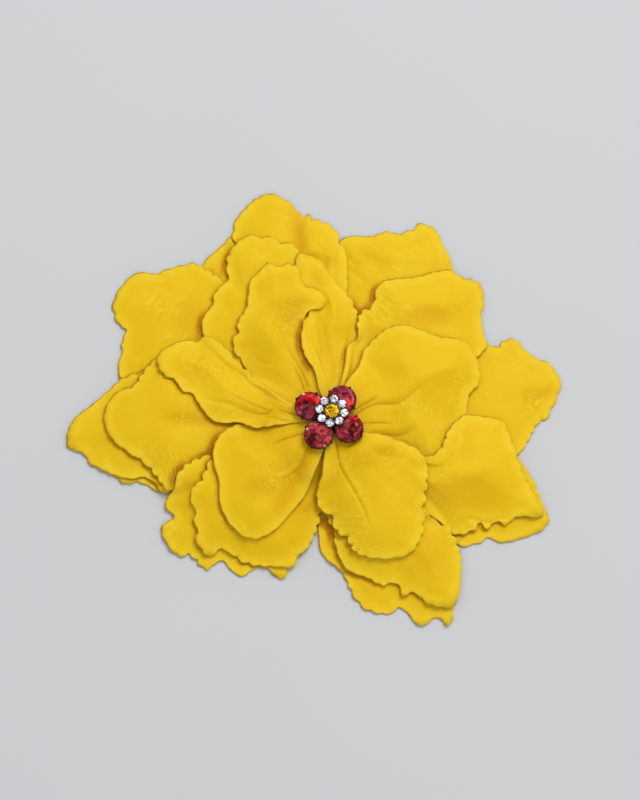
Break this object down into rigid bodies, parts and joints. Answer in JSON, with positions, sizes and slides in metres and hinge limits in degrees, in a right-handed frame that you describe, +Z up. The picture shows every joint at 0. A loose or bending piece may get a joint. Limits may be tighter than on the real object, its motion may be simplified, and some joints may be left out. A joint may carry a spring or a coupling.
{
  "type": "artificial fabric flower",
  "caption": "Yellow fabric flower with layers of wavy-edged petals on a round felt back and a jewelled middle of cut glass stones in dark metal mounts.",
  "frame": {"origin": "middle of the round felt back, on the flat face that the flower lies on", "axes": "+Z up out of the flower through the jewel, +Y towards the top of the picture, +X towards its right"},
  "size_m": [0.1346, 0.1217, 0.016],
  "materials": {
    "petal_cloth": "stiffened satin cloth, soft sheen",
    "felt": "matt felt",
    "dark_metal": "black-plated metal",
    "red_glass": "foiled cut glass",
    "clear_glass": "foiled cut glass",
    "yellow_glass": "foiled cut glass"
  },
  "bodies": {
    "root": {"felt_backing": "felt", "petal_outer_north_back": "petal_cloth", "petal_outer_north_east": "petal_cloth", "petal_outer_north": "petal_cloth", "petal_outer_north_west": "petal_cloth", "petal_outer_west_back": "petal_cloth", "petal_outer_west": "petal_cloth", "petal_outer_east": "petal_cloth", "petal_outer_south_east": "petal_cloth", "petal_outer_south": "petal_cloth", "petal_middle_west": "petal_cloth", "petal_outer_south_west": "petal_cloth", "petal_middle_south_west": "petal_cloth", "petal_middle_north_west": "petal_cloth", "petal_top_north_west": "petal_cloth", "petal_middle_north": "petal_cloth", "petal_middle_north_east": "petal_cloth", "petal_top_east": "petal_cloth", "petal_middle_south_east": "petal_cloth", "petal_middle_south": "petal_cloth", "petal_top_south_west": "petal_cloth", "petal_top_west": "petal_cloth", "petal_top_south": "petal_cloth", "red_stone_mount": "dark_metal", "cluster_mount": "dark_metal", "red_stone_1": "red_glass", "red_stone_2": "red_glass", "red_stone_3": "red_glass", "red_stone_4": "red_glass", "clear_stone_1": "clear_glass", "clear_stone_2": "clear_glass", "clear_stone_3": "clear_glass", "clear_stone_4": "clear_glass", "clear_stone_5": "clear_glass", "clear_stone_6": "clear_glass", "clear_stone_7": "clear_glass", "clear_stone_8": "clear_glass", "yellow_stone": "yellow_glass"}
  },
  "joints": []
}
